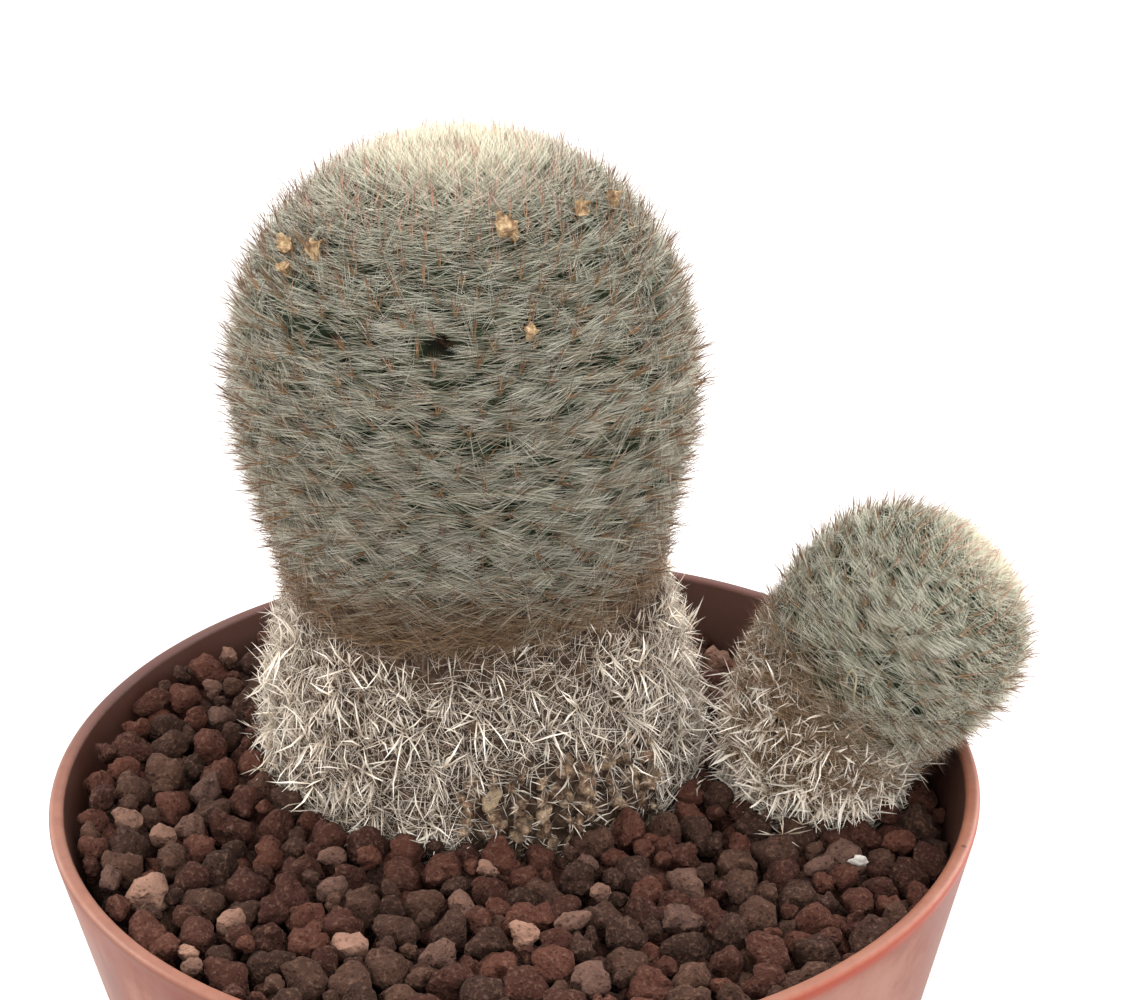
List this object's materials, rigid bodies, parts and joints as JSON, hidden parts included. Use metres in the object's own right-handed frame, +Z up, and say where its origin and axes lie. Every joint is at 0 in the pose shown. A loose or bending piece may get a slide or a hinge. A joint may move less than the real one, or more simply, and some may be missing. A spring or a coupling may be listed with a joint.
{
  "type": "potted snowball cactus",
  "caption": "Barrel-shaped snowball cactus with a corky trunk and a leaning offset, covered in fine white spines, standing in lava gravel in a terracotta-coloured bowl pot.",
  "frame": {"origin": "middle of the pot's flat underside", "axes": "+Z up, +X towards the side that the offset leans to, -Y towards the viewer of the picture"},
  "size_m": [0.2169, 0.1994, 0.2239],
  "materials": {
    "pot": "satin",
    "potting_mix": "matte",
    "gravel": "matte",
    "main_stem": "matte",
    "offset_stem": "matte"
  },
  "bodies": {
    "root": {"pot": "pot", "potting_mix": "potting_mix", "gravel": "gravel", "main_stem": "main_stem", "offset_stem": "offset_stem"}
  },
  "joints": []
}
